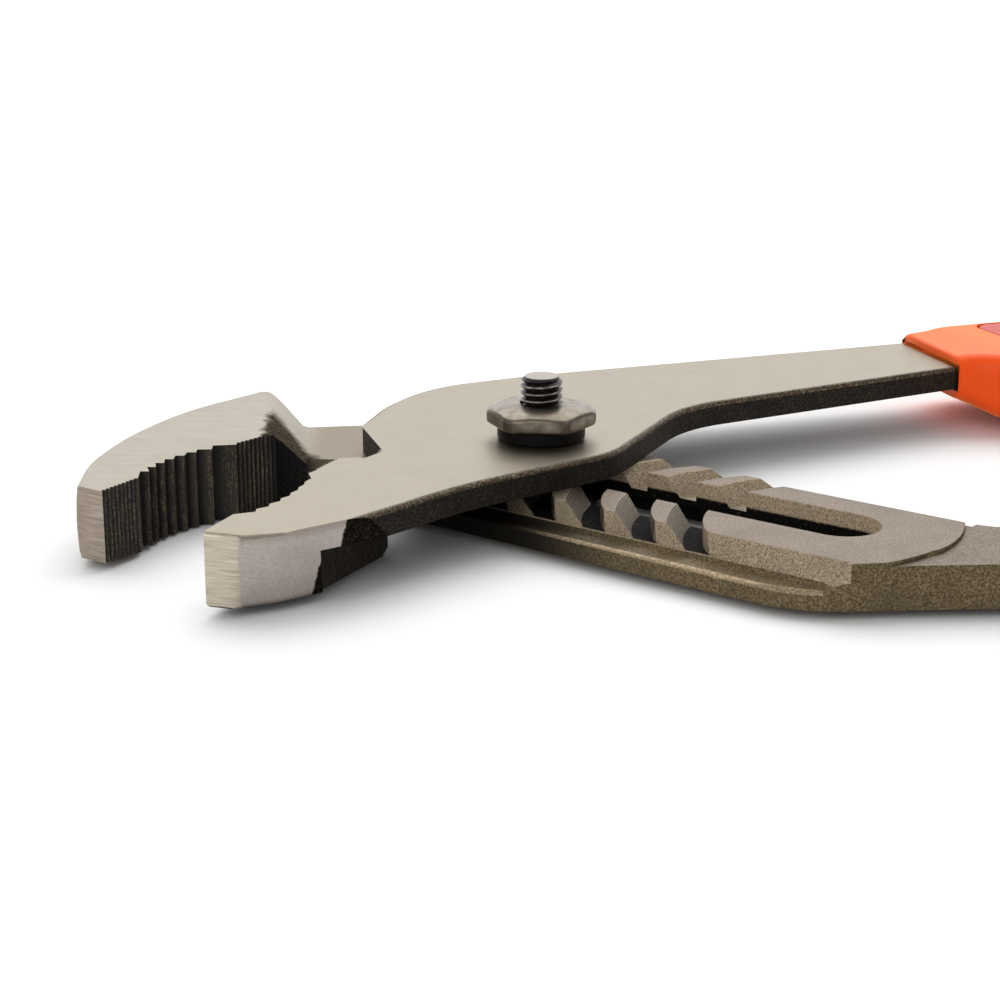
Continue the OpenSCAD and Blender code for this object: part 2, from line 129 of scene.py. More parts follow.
def nudge(piece, shift):
    """Moves each point of a piece by what shift gives for its place, both in mm."""
    for point in piece.data.vertices:
        point.co += Vector(shift(point.co / MM)) * MM


def smooth_step(low, high, value):
    share = min(1, max(0, (value - low) / (high - low)))
    return share * share * (3 - 2 * share)


def shade(piece, sharp_angle):
    """Drops faces of no area, then shades smooth between sharp edges, with large faces kept flat."""
    pick_only(piece)
    bpy.ops.object.mode_set(mode="EDIT")
    bpy.ops.mesh.select_all(action="SELECT")
    bpy.ops.mesh.dissolve_degenerate(threshold=0.003 * MM)
    bpy.ops.object.mode_set(mode="OBJECT")
    bpy.ops.object.shade_smooth_by_angle(angle=math.radians(sharp_angle))
    even = piece.modifiers.new("even_normals", "WEIGHTED_NORMAL")
    even.keep_sharp = True
    even.weight = 80
    bpy.ops.object.modifier_apply(modifier=even.name)


def slot_place(p):
    """Distances in mm along the slot from the bolt, and across it to the far side."""
    return (p.x * math.cos(SLOT_TURN) - p.y * math.sin(SLOT_TURN),
            p.x * math.sin(SLOT_TURN) + p.y * math.cos(SLOT_TURN))


def srgb(code):
    """Linear colour with alpha from an sRGB hex code."""
    parts = [int(code[i:i + 2], 16) / 255 for i in (1, 3, 5)]
    return [c / 12.92 if c <= 0.04045 else ((c + 0.055) / 1.055) ** 2.4 for c in parts] + [1]


def add_node(tree, kind, inputs, stops=(), **settings):
    """Adds a node with its settings, its ramp's stops, and its inputs' values or links. An input's
    number stands where names repeat: a range's ends before and after are 1 to 4, and a mix's share
    and two colours are 0, 6 and 7."""
    node = tree.nodes.new(kind)
    for name, value in settings.items():
        setattr(node, name, value)
    for name, value in inputs.items():
        if isinstance(value, bpy.types.NodeSocket):
            tree.links.new(value, node.inputs[name])
        else:
            node.inputs[name].default_value = value
    for i, (place, code) in enumerate(stops):
        ramp = node.color_ramp.elements
        stop = ramp[i] if i < 2 else ramp.new(place)
        stop.position = place
        stop.color = srgb(code)
    return node


def new_material(name, metallic, roughness):
    """A material with its tree, its shader and the object coordinates that its patterns read."""
    material = bpy.data.materials.new(name)
    material.use_nodes = True
    tree = material.node_tree
    shader = tree.nodes["Principled BSDF"]
    shader.inputs["Metallic"].default_value = metallic
    shader.inputs["Roughness"].default_value = roughness
    place = add_node(tree, "ShaderNodeTexCoord", {}).outputs["Object"]
    return material, tree, shader, place


def forged_skin(name, dark, mid, pale, stain, grit, metallic, roughness, shade_from=-99):
    """Forged steel: a blasted grain, grit mm across, under slow clouds of stain about 5 mm wide.
    Towards the jaws, where the upper arm covers it, it fades to black as painted shade from shade_from mm
    on."""
    material, tree, shader, place = new_material(name, metallic, roughness)
    shader.inputs["Specular IOR Level"].default_value = 0.2
    grains = add_node(tree, "ShaderNodeTexNoise", {"Vector": place, "Scale": 1 / (grit * MM),
                                                   "Detail": 3, "Roughness": 0.6})
    clouds = add_node(tree, "ShaderNodeTexNoise", {"Vector": place, "Scale": 1 / (5 * MM), "Detail": 3})
    tint = add_node(tree, "ShaderNodeValToRGB", {"Fac": grains.outputs[0]},
                    stops=[(0.32, dark), (0.7, pale), (0.5, mid)])
    share = add_node(tree, "ShaderNodeMapRange", {"Value": clouds.outputs[0], 1: 0.42, 2: 0.7,
                                                  3: 0.0, 4: 0.5})
    colour = add_node(tree, "ShaderNodeMix", {0: share.outputs[0], 6: tint.outputs[0],
                                              7: srgb(stain)},
                      data_type="RGBA")
    # Painted shade: the colour goes to near black towards the jaws, under the upper arm.
    axes = add_node(tree, "ShaderNodeSeparateXYZ", {0: place})
    under = add_node(tree, "ShaderNodeMapRange", {"Value": axes.outputs[0], 1: shade_from * MM,
                                                  2: (shade_from - 17) * MM, 3: 0.0, 4: 0.96},
                     interpolation_type="SMOOTHSTEP")
    colour = add_node(tree, "ShaderNodeMix", {0: under.outputs[0], 6: colour.outputs[2],
                                              7: srgb("#0B0A08")},
                      data_type="RGBA")
    sheen = add_node(tree, "ShaderNodeMapRange", {"Value": grains.outputs[0], 1: 0.35, 2: 0.65,
                                                  3: roughness + 0.1, 4: roughness - 0.08})
    bump = add_node(tree, "ShaderNodeBump", {"Height": grains.outputs[0], "Strength": 0.45,
                                             "Distance": 0.2 * grit * MM})
    tree.links.new(colour.outputs[2], shader.inputs["Base Color"])
    tree.links.new(sheen.outputs[0], shader.inputs["Roughness"])
    tree.links.new(bump.outputs[0], shader.inputs["Normal"])
    return material, tree, shader, place, colour.outputs[2]


# Blasted sides: brown and matt. Blasted deck walls: the same, but rubbed to a pale sandy grain.
# Coined deck: pressed flat while hot, so smoother and greyer. Bar top: blasted, a little darker.
blasted_side = forged_skin("blasted_forged_steel", "#463B2A", "#685A42", "#8F7E61", "#554934",
                           grit=0.3, metallic=0.45, roughness=0.6)[0]
# Shaded side: the same blasted steel, with painted shade towards the jaws under the upper arm.
shaded_side = forged_skin("shaded_forged_steel", "#463B2A", "#685A42", "#8F7E61", "#554934",
                           grit=0.3, metallic=0.45, roughness=0.6, shade_from=14)[0]
# The deck walls also take painted shade towards the jaws under the upper arm.
sandy_wall = forged_skin("rubbed_blasted_steel", "#695B49", "#9F8F78", "#BFAE97", "#8B7C68",
                         grit=0.24, metallic=0.6, roughness=0.55, shade_from=5)[0]
coined_deck = forged_skin("coined_deck_steel", "#665B4D", "#776B5F", "#85796B", "#64594C",
                          grit=0.22, metallic=0.85, roughness=0.5)[0]
bar_top = forged_skin("blasted_bar_steel", "#5A5042", "#6F6456", "#7F7366", "#625749",
                      grit=0.26, metallic=0.7, roughness=0.52)[0]
# Worn lip: the ledge's outer edge, rubbed pale by the other arm's jaw, and darkened by painted shade
# towards the jaws.
worn_lip = forged_skin("worn_lip_steel", "#675943", "#8C7C62", "#A8977B", "#7B6C57",
                       grit=0.3, metallic=0.6, roughness=0.45, shade_from=10)[0]
# Throat shade: black and coarse, painted shade on the faces in the gap behind the teeth.
throat_shade = forged_skin("black_throat_shade", "#060504", "#0D0B09", "#2A261E", "#080706",
                           grit=0.35, metallic=0.1, roughness=0.8)[0]
# Slot wall: blasted and pale down to 4 mm over the underside, then black with olive specks as painted shade
# in the slot's depth.
slot_wall, tree, shader, place, sandy = forged_skin(
    "shaded_slot_steel", "#6E5E4B", "#A6937B", "#C7B49B", "#91806A",
    grit=0.24, metallic=0.1, roughness=0.8)
shader.inputs["Specular IOR Level"].default_value = 0.08
axes = add_node(tree, "ShaderNodeSeparateXYZ", {0: place})
speck = add_node(tree, "ShaderNodeTexNoise", {"Vector": place, "Scale": 1 / (0.45 * MM), "Detail": 3})
scale = add_node(tree, "ShaderNodeValToRGB", {"Fac": speck.outputs[0]},
                 stops=[(0.45, "#060504"), (0.8, "#4A4433"), (0.62, "#0C0A08")])
# Painted shade: below about 4 mm the wall goes black, with a ragged edge.
edge = add_node(tree, "ShaderNodeMath", {0: speck.outputs[0], 1: 0.25 * MM, 2: axes.outputs[2]},
                operation="MULTIPLY_ADD")
black = add_node(tree, "ShaderNodeMapRange", {"Value": edge.outputs[0], 1: 4.3 * MM, 2: 4.0 * MM})
mixed = add_node(tree, "ShaderNodeMix", {0: black.outputs[0], 6: sandy, 7: scale.outputs[0]},
                 data_type="RGBA")
tree.links.new(mixed.outputs[2], shader.inputs["Base Color"])


def ground_steel(name, pale, dull, streak_turn, roughness):
    """Belt-ground steel: fine scratches along one direction, faint clouds and a few dark pits."""
    material, tree, shader, place = new_material(name, 1.0, roughness)
    along = add_node(tree, "ShaderNodeMapping", {"Vector": place, "Rotation": (0, 0, streak_turn),
                                                 "Scale": (1 / (5 * MM), 1 / (0.16 * MM), 1 / (0.16 * MM))})
    scratch = add_node(tree, "ShaderNodeTexNoise", {"Vector": along.outputs[0], "Scale": 1, "Detail": 3})
    cloud = add_node(tree, "ShaderNodeTexNoise", {"Vector": place, "Scale": 1 / (4 * MM), "Detail": 3})
    pits = add_node(tree, "ShaderNodeTexNoise", {"Vector": place, "Scale": 1 / (0.5 * MM), "Detail": 1})
    line = add_node(tree, "ShaderNodeMapRange", {"Value": scratch.outputs[0], 1: 0.3, 2: 0.7})
    face = add_node(tree, "ShaderNodeMix", {0: line.outputs[0], 6: srgb(dull), 7: srgb(pale)},
                    data_type="RGBA")
    haze = add_node(tree, "ShaderNodeMapRange", {"Value": cloud.outputs[0], 1: 0.45, 2: 0.75,
                                                 3: 0.0, 4: 0.6})
    hazed = add_node(tree, "ShaderNodeMix", {0: haze.outputs[0], 6: face.outputs[2], 7: srgb(dull)},
                     data_type="RGBA")
    pit = add_node(tree, "ShaderNodeMapRange", {"Value": pits.outputs[0], 1: 0.7, 2: 0.76,
                                                3: 0.0, 4: 0.4})
    pitted = add_node(tree, "ShaderNodeMix", {0: pit.outputs[0], 6: hazed.outputs[2],
                                              7: srgb("#6B6255")},
                      data_type="RGBA")
    sheen = add_node(tree, "ShaderNodeMapRange", {"Value": scratch.outputs[0], 1: 0.3, 2: 0.7,
                                                  3: roughness - 0.05, 4: roughness + 0.07})
    bump = add_node(tree, "ShaderNodeBump", {"Height": scratch.outputs[0], "Strength": 0.2,
                                             "Distance": 0.02 * MM})
    tree.links.new(pitted.outputs[2], shader.inputs["Base Color"])
    tree.links.new(sheen.outputs[0], shader.inputs["Roughness"])
    tree.links.new(bump.outputs[0], shader.inputs["Normal"])
    return material, tree, shader, place, pitted.outputs[2]


# Ground far jaw: bright on its top and back. The grinding left scale along the ramp's edge over the
# rear teeth, ragged and speckled. The neck past the ramp's foot is only blasted, so it is browner.
ground_far_jaw, tree, shader, place, bright = ground_steel(
    "ground_far_jaw_steel", "#979084", "#847D71", math.radians(-8), 0.42)
shader.inputs["Specular IOR Level"].default_value = 0.08
ragged = add_node(tree, "ShaderNodeTexNoise", {"Vector": place, "Scale": 1 / (1.8 * MM), "Detail": 4})
axes = add_node(tree, "ShaderNodeSeparateXYZ", {0: place})
slanted = add_node(tree, "ShaderNodeMath", {0: axes.outputs[0], 1: 1.8, 2: axes.outputs[1]},
                   operation="MULTIPLY_ADD")
inward = add_node(tree, "ShaderNodeMath", {0: ragged.outputs[0], 1: 5 * MM, 2: slanted.outputs[0]},
                  operation="MULTIPLY_ADD")
near_edge = add_node(tree, "ShaderNodeMapRange", {"Value": inward.outputs[0],
                                                  1: -51 * MM, 2: -55 * MM})
sideways = add_node(tree, "ShaderNodeMath", {0: ragged.outputs[0], 1: 3 * MM, 2: axes.outputs[0]},
                    operation="MULTIPLY_ADD")
on_ramp = add_node(tree, "ShaderNodeMapRange", {"Value": sideways.outputs[0],
                                                1: -38.4 * MM, 2: -37.4 * MM})
left = add_node(tree, "ShaderNodeMath", {0: near_edge.outputs[0], 1: on_ramp.outputs[0]},
                operation="MULTIPLY")
speck = add_node(tree, "ShaderNodeTexNoise", {"Vector": place, "Scale": 1 / (0.4 * MM), "Detail": 3})
scale = add_node(tree, "ShaderNodeValToRGB", {"Fac": speck.outputs[0]},
                 stops=[(0.35, "#17120B"), (0.75, "#6E5F49"), (0.52, "#372E20")])
neck = add_node(tree, "ShaderNodeMapRange", {"Value": axes.outputs[0], 1: -37 * MM, 2: -31 * MM,
                                             3: 0.0, 4: 0.8},
                interpolation_type="SMOOTHSTEP")
browned = add_node(tree, "ShaderNodeMix", {0: neck.outputs[0], 6: bright, 7: srgb("#685C48")},
                   data_type="RGBA")
mixed = add_node(tree, "ShaderNodeMix", {0: left.outputs[0], 6: browned.outputs[2],
                                         7: scale.outputs[0]},
                 data_type="RGBA")
bare = add_node(tree, "ShaderNodeMapRange", {"Value": left.outputs[0], 3: 1.0, 4: 0.4})
dull = add_node(tree, "ShaderNodeMapRange", {"Value": left.outputs[0], 3: 0.44, 4: 0.95})
tree.links.new(mixed.outputs[2], shader.inputs["Base Color"])
tree.links.new(bare.outputs[0], shader.inputs["Metallic"])
tree.links.new(dull.outputs[0], shader.inputs["Roughness"])

# Ground end of a jaw: cream under the light, with fine level grinding lines about 0.2 mm apart.
ground_end, tree, shader, place = new_material("ground_jaw_end_steel", 0.85, 0.45)
level = add_node(tree, "ShaderNodeMapping", {"Vector": place,
                                             "Scale": (1 / (4 * MM), 1 / (4 * MM), 1 / (0.2 * MM))})
lines = add_node(tree, "ShaderNodeTexNoise", {"Vector": level.outputs[0], "Scale": 1, "Detail": 3})
cloud = add_node(tree, "ShaderNodeTexNoise", {"Vector": place, "Scale": 1 / (2.5 * MM), "Detail": 3})
tint = add_node(tree, "ShaderNodeValToRGB", {"Fac": lines.outputs[0]},
                stops=[(0.3, "#84786B"), (0.7, "#AC9F90"), (0.5, "#9D9082")])
share = add_node(tree, "ShaderNodeMapRange", {"Value": cloud.outputs[0], 1: 0.5, 2: 0.75,
                                              3: 0.0, 4: 0.5})
colour = add_node(tree, "ShaderNodeMix", {0: share.outputs[0], 6: tint.outputs[0],
                                          7: srgb("#877B6D")},
                  data_type="RGBA")
bump = add_node(tree, "ShaderNodeBump", {"Height": lines.outputs[0], "Strength": 0.3,
                                         "Distance": 0.03 * MM})
tree.links.new(colour.outputs[2], shader.inputs["Base Color"])
tree.links.new(bump.outputs[0], shader.inputs["Normal"])

# Teeth: broached, with fine upright drag lines about 0.2 mm apart over a speckled scale, brown on the
# ridges and near black in the valleys, where painted shade stands in for the valleys' shadow.
tooth_steel, tree, shader, place = new_material("broached_tooth_steel", 0.5, 0.5)
along = add_node(tree, "ShaderNodeMapping", {"Vector": place,
                                             "Scale": (1 / (0.2 * MM), 1 / (0.2 * MM), 1 / (3 * MM))})
drag = add_node(tree, "ShaderNodeTexNoise", {"Vector": along.outputs[0], "Scale": 1, "Detail": 3})
grit = add_node(tree, "ShaderNodeTexNoise", {"Vector": place, "Scale": 1 / (0.3 * MM), "Detail": 2})
both = add_node(tree, "ShaderNodeMath", {0: drag.outputs[0], 1: grit.outputs[0]},
                operation="MULTIPLY")
tint = add_node(tree, "ShaderNodeValToRGB", {"Fac": both.outputs[0]},
                stops=[(0.12, "#1E1A14"), (0.45, "#716650"), (0.28, "#3E372B")])
# Painted shade: the valleys go near black, and only the ridges keep the brown tint.
ridge = add_node(tree, "ShaderNodeAttribute", {}, attribute_name="ridge")
worn_and_lit = add_node(tree, "ShaderNodeMapRange", {"Value": ridge.outputs["Fac"], 1: 0.2, 2: 0.8,
                                               3: 0.05, 4: 1.0})
colour = add_node(tree, "ShaderNodeMix", {0: worn_and_lit.outputs[0], 6: srgb("#0B0A08"),
                                          7: tint.outputs[0]},
                  data_type="RGBA")
bump = add_node(tree, "ShaderNodeBump", {"Height": drag.outputs[0], "Strength": 0.4,
                                         "Distance": 0.04 * MM})
tree.links.new(colour.outputs[2], shader.inputs["Base Color"])
tree.links.new(bump.outputs[0], shader.inputs["Normal"])


def mark_ridges(piece):
    """Writes, for the teeth's material, 1 on the points of outer upright edges and 0 elsewhere."""
    shape = bmesh.new()
    shape.from_mesh(piece.data)
    mark = shape.verts.layers.float.new("ridge")
    for edge in shape.edges:
        a, b = edge.verts
        if edge.is_manifold and edge.is_convex and abs(a.co.z - b.co.z) > 0.8 * edge.calc_length():
            a[mark] = b[mark] = 1
    shape.to_mesh(piece.data)
    shape.free()


# Grooves: milled about each setting, so the cutter's lines lie level on the slopes, 0.25 mm apart.
milled_groove, tree, shader, place = new_material("milled_groove_steel", 0.85, 0.42)
lines = add_node(tree, "ShaderNodeTexWave", {"Vector": place, "Scale": 2 * math.pi / (20 * 0.25 * MM),
                                             "Distortion": 2.5, "Detail": 2, "Detail Scale": 0.5},
                 bands_direction="Z")
grit = add_node(tree, "ShaderNodeTexNoise", {"Vector": place, "Scale": 1 / (0.3 * MM), "Detail": 2})
both = add_node(tree, "ShaderNodeMath", {0: lines.outputs[1], 1: 0.5, 2: grit.outputs[0]},
                operation="MULTIPLY_ADD")
tint = add_node(tree, "ShaderNodeValToRGB", {"Fac": both.outputs[0]},
                stops=[(0.5, "#2F2A22"), (1.0, "#8F8574"), (0.72, "#6A6153")])
bump = add_node(tree, "ShaderNodeBump", {"Height": lines.outputs[1], "Strength": 0.5,
                                         "Distance": 0.06 * MM})
tree.links.new(tint.outputs[0], shader.inputs["Base Color"])
tree.links.new(bump.outputs[0], shader.inputs["Normal"])

lower_arm = merged_copy("lower_arm", "lower_arm_forging")
lower_finishes = [blasted_side, sandy_wall, coined_deck, slot_wall, worn_lip, ground_far_jaw, ground_end,
                  tooth_steel, milled_groove, throat_shade, bar_top, shaded_side]
for finish in lower_finishes:
    lower_arm.data.materials.append(finish)

# The far jaw's back is ground to a shallow barrel, fullest half way up.
BACK_START, BARREL_LEVEL, BARREL_DEPTH = -41.5, 4.5, 0.5


def behind_teeth(p):
    """Distance in mm of a point behind the far jaw's tooth line."""
    return -0.823 * (p.x + 57.3) + 0.568 * (p.y + 26.3)


def on_jaw_back(p):
    return p.x < BACK_START and behind_teeth(p) > 4.4


def barrel_shift(p):
    """Shift of the back's points inwards: 33 degrees off the x axis at the tip, and from 0 to 25
    degrees off it along the rest."""
    if not on_jaw_back(p):
        return 0, 0, 0
    turn = math.radians(-33 if p.y < -22.5 else -25 * min(1, max(0, (p.y + 13) / 29)))
    off_middle = (p.z - BARREL_LEVEL) / (JAW_TOP - BARREL_LEVEL)
    shift = BARREL_DEPTH * off_middle ** 2 * smooth_step(BACK_START, BACK_START - 5.5, p.x)
    return shift * math.cos(turn), shift * math.sin(turn), 0


for height in (BARREL_LEVEL - 3, BARREL_LEVEL, BARREL_LEVEL + 3):
    cut(lower_arm, lambda p, n: on_jaw_back(p) and abs(n.z) < 0.3 and n.x < 0.3,
        (0, 0, height), (0, 0, 1))
nudge(lower_arm, barrel_shift)

# The bar's near side leans in above the forging's parting line.
PARTING_LEVEL, LEAN = 3.6, 0.55
cut(lower_arm, lambda p, n: p.x > 36 and n.y < -0.85 and abs(n.z) < 0.3,
    (0, 0, PARTING_LEVEL), (0, 0, 1))
nudge(lower_arm, lambda p: (0, LEAN * smooth_step(37, 46, p.x) * (p.y < -40 and p.z > BAR_TOP - 0.1), 0))

# The ledge runs out in a scoop, where the foot of the deck's wall sweeps out to the bar's side.
SCOOP_START, SCOOP_LENGTH = 53, 1.5
cut(lower_arm, lambda p, n: n.z > 0.1 and -14.6 < slot_place(p)[1] < -13.2 and LEDGE_TOP < p.z < 5,
    (SCOOP_START * math.cos(SLOT_TURN), -SCOOP_START * math.sin(SLOT_TURN), 0),
    (math.cos(SLOT_TURN), -math.sin(SLOT_TURN), 0))


def scoop_shift(p):
    """Slides the ledge's last points back along the bar's near side, the last one furthest."""
    along, across = slot_place(p)
    on_end = SCOOP_START + 0.9 < along < SCOOP_START + 3.1 and across < -13.9 and 2.5 < p.z < 3.3
    return -SCOOP_LENGTH * smooth_step(SCOOP_START + 0.9, SCOOP_START + 3, along) * on_end, 0, 0


nudge(lower_arm, scoop_shift)

# Each face gets its finish by where it lies and how it faces. A level face has a normal over LEVEL.
LEVEL = 0.98
TEETH_END, THROAT_END, NECK_END = -37.7, -33.2, -27
SLOT_HALF, GROOVES_HALF, DECK_HALF, GROOVE_FOOT = 7, 13, 14.5, 3.3
for face in lower_arm.data.polygons:
    p, n = face.center / MM, face.normal
    along, across = slot_place(p)
    over_slot = n.x * math.sin(SLOT_TURN) + n.y * math.cos(SLOT_TURN)
    finish = blasted_side
    if p.x < -56 and n.y < -0.6 and p.y < -23.5 and abs(behind_teeth(p)) > 1:
        finish = ground_end
    elif p.x < NECK_END and abs(n.z) < 0.3 and p.y < 2.4 and behind_teeth(p) < 4.3:
        finish = tooth_steel if p.x < TEETH_END else throat_shade if p.x < THROAT_END else bar_top
    elif p.x < NECK_END and n.z > 0.2 or on_jaw_back(p):
        finish = ground_far_jaw
    elif abs(across) < SLOT_HALF and -9 < along < 57 and (abs(n.z) < 0.2 or p.z < 3):
        finish = slot_wall
    elif n.z > LEVEL and p.z > BAR_TOP - 0.2:
        finish = coined_deck if p.z > BAR_TOP + 0.2 else bar_top
    elif (GROOVE_FOOT < p.z < DECK_TOP and abs(across) < GROOVES_HALF and along < 34
          and abs(over_slot) < 0.8):
        # Level faces on the near side take the slot wall's black below 4 mm, as painted shade in the groove
        # floors.
        if n.z > LEVEL:
            finish = milled_groove if across > 0 else slot_wall
        else:
            finish = milled_groove if across < 0 else sandy_wall
    elif GROOVE_FOOT < p.z < DECK_TOP and 10 < abs(across) < DECK_HALF and -20 < along < 58:
        finish = sandy_wall
    elif across < -11 and n.z > -0.5:
        finish = shaded_side
    face.material_index = lower_finishes.index(finish)


def at_level(level, a, b, off=0.05):
    return abs(a.z - level) < off and abs(b.z - level) < off


round_edges(lower_arm, 0.22, 2, lambda a, b: at_level(DECK_TOP, a, b) and min(a.x, b.x) > -26)
round_edges(lower_arm, 0.4, 3, lambda a, b: at_level(JAW_TOP, a, b) and on_jaw_back(a) and
            on_jaw_back(b))
round_edges(lower_arm, 0.7, 3, lambda a, b: max(a.z, b.z) < 0.1 and on_jaw_back(a) and on_jaw_back(b))
round_edges(lower_arm, 0.5, 3, lambda a, b: min(a.x, b.x) > 58 and at_level(BAR_TOP, a, b, 0.1))
round_edges(lower_arm, 0.6, 3, lambda a, b: at_level(LEDGE_TOP, a, b) and
            max(slot_place(a)[1], slot_place(b)[1]) < -15.5, finish=lower_finishes.index(worn_lip))

# The ramp's crest is ground round and its foot slightly hollow. Each line is given by a point on
# it, the way across it and how far the blend reaches in mm; the foot's stays clear of the plate.
CREST, FOOT = (-37.7, 2.1, 0.994, 0.109, 2), (-33, -1.4, 0.995, 0.0985, 0.7)
RAMP_SLOPE = 0.79
for x, y, across_x, across_y, reach in (CREST, FOOT):
    for off in (-reach, -reach / 2, reach / 2, reach):
        cut(lower_arm, lambda p, n: n.z > 0.3 and p.z > DECK_TOP - 0.1 and p.x < -26,
            (x + off * across_x, y + off * across_y, 0), (across_x, across_y, 0))


def ramp_shift(p):
    if p.z < DECK_TOP - 0.05 or p.x > -28 or p.x < -44:
        return 0, 0, 0
    crest, foot = (max(0, reach - abs((p.x - x) * across_x + (p.y - y) * across_y)) ** 2 / (4 * reach)
                   for x, y, across_x, across_y, reach in (CREST, FOOT))
    return 0, 0, RAMP_SLOPE * (foot - crest)


nudge(lower_arm, ramp_shift)
mark_ridges(lower_arm)
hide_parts("lower_arm")
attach(lower_arm, "lower")
shade(lower_arm, 28)

# Upper arm: the second forging, laid on the deck and held by the bolt. Its top face is belt-ground
# to a satin, its jaw end and back are ground bright, and its edges keep a dark speckled scale.
PLATE_TOP = 9.85
edge_scale = forged_skin("forged_edge_scale", "#0E0C09", "#1E1A14", "#443C30", "#14110C",
                         grit=0.28, metallic=0.3, roughness=0.65)[0]
# Worn edge: the brown bevel between the ground top and the scaled edge, with bright specks.
worn_edge = forged_skin("worn_edge_steel", "#2E2820", "#544A3D", "#8C806E", "#41392E",
                        grit=0.35, metallic=0.7, roughness=0.5)[0]
# Ground plate: the satin top, with its scratches along the arm.
ground_plate = ground_steel("ground_plate_steel", "#928A7B", "#857D6E", math.radians(-6), 0.43)[0]

# Ground back of the near jaw: satin with upright scratches, up to a ragged edge past which painted shade
# turns it black with dark specks.
ground_back, tree, shader, place, bright = ground_steel(
    "ground_near_jaw_steel", "#BCB3AE", "#A39A94", math.radians(-80), 0.42)
axes = add_node(tree, "ShaderNodeSeparateXYZ", {0: place})
ragged = add_node(tree, "ShaderNodeTexNoise", {"Vector": place, "Scale": 1 / (0.9 * MM), "Detail": 4})
rise = add_node(tree, "ShaderNodeMapRange", {"Value": axes.outputs[2], 1: 4.8 * MM, 2: 6.3 * MM,
                                             3: 0.0, 4: 2 * MM},
                interpolation_type="SMOOTHSTEP")
lean = add_node(tree, "ShaderNodeMath", {0: axes.outputs[2], 1: 0.26, 2: rise.outputs[0]},
                operation="MULTIPLY_ADD")
past = add_node(tree, "ShaderNodeMath", {0: axes.outputs[0], 1: lean.outputs[0]},
                operation="SUBTRACT")
jagged = add_node(tree, "ShaderNodeMath", {0: ragged.outputs[0], 1: 0.7 * MM, 2: past.outputs[0]},
                  operation="MULTIPLY_ADD")
# Painted shade: black with dark specks past a ragged line, where the jaw's block lies back under the plate.
painted_shade = add_node(tree, "ShaderNodeMapRange", {"Value": jagged.outputs[0],
                                               1: -29.1 * MM, 2: -28.9 * MM})
speck = add_node(tree, "ShaderNodeTexNoise", {"Vector": place, "Scale": 1 / (0.35 * MM), "Detail": 3})
scale = add_node(tree, "ShaderNodeValToRGB", {"Fac": speck.outputs[0]},
                 stops=[(0.35, "#0E0C09"), (0.75, "#443C30"), (0.52, "#1E1A14")])
# The grinding fades to brown under the top edge and to a dull grey along the bottom edge.
upper_band = add_node(tree, "ShaderNodeMapRange", {"Value": axes.outputs[2], 1: 8.4 * MM, 2: 9.4 * MM,
                                                   3: 0.0, 4: 0.55})
lower_band = add_node(tree, "ShaderNodeMapRange", {"Value": axes.outputs[2], 1: 0.9 * MM, 2: 0.1 * MM,
                                                   3: 0.0, 4: 0.8})
topped = add_node(tree, "ShaderNodeMix", {0: upper_band.outputs[0], 6: bright, 7: srgb("#857A6C")},
                  data_type="RGBA")
footed = add_node(tree, "ShaderNodeMix", {0: lower_band.outputs[0], 6: topped.outputs[2],
                                          7: srgb("#6B655C")},
                  data_type="RGBA")
# The jaw's end has its own grinding: cream, with fine level lines about 0.2 mm apart.
level = add_node(tree, "ShaderNodeMapping", {"Vector": place,
                                             "Scale": (1 / (4 * MM), 1 / (4 * MM), 1 / (0.2 * MM))})
lines = add_node(tree, "ShaderNodeTexNoise", {"Vector": level.outputs[0], "Scale": 1, "Detail": 3})
cream = add_node(tree, "ShaderNodeValToRGB", {"Fac": lines.outputs[0]},
                 stops=[(0.3, "#A3998A"), (0.7, "#CCC2B2"), (0.5, "#BBB1A0")])
ragged_end = add_node(tree, "ShaderNodeMath", {0: ragged.outputs[0], 1: 1.2 * MM, 2: axes.outputs[0]},
                      operation="MULTIPLY_ADD")
at_end = add_node(tree, "ShaderNodeMapRange", {"Value": ragged_end.outputs[0],
                                               1: -36.8 * MM, 2: -37.2 * MM})
ended = add_node(tree, "ShaderNodeMix", {0: at_end.outputs[0], 6: footed.outputs[2],
                                         7: cream.outputs[0]},
                 data_type="RGBA")
mixed = add_node(tree, "ShaderNodeMix", {0: painted_shade.outputs[0], 6: ended.outputs[2],
                                         7: scale.outputs[0]},
                 data_type="RGBA")
dull = add_node(tree, "ShaderNodeMapRange", {"Value": painted_shade.outputs[0], 3: 0.42, 4: 0.75})
tree.links.new(mixed.outputs[2], shader.inputs["Base Color"])
tree.links.new(dull.outputs[0], shader.inputs["Roughness"])

upper_arm = merged_copy("upper_arm", "upper_arm_forging")
upper_finishes = [edge_scale, ground_plate, ground_back, tooth_steel, worn_edge]
for finish in upper_finishes:
    upper_arm.data.materials.append(finish)
# The crease between the near jaw's end and back is ground upright.
CREASE_FOOT = Vector((-40.62, -43.83, 0))
nudge(upper_arm, lambda p: (2, -0.62, 0) if (p - CREASE_FOOT).length < 0.1 else (0, 0, 0))
for face in upper_arm.data.polygons:
    p, n = face.center / MM, face.normal
    finish = edge_scale
    if n.z > LEVEL:
        finish = ground_plate
    elif p.x < -25 and p.y < -39 and n.y < -0.4:
        finish = ground_back
    elif p.x < -27.5 and n.x < 0.1 and abs(n.z) < 0.1 and p.y < -10:
        finish = tooth_steel
    face.material_index = upper_finishes.index(finish)


def off_bolt(a, b):
    return min(a.xy.length, b.xy.length) > 6


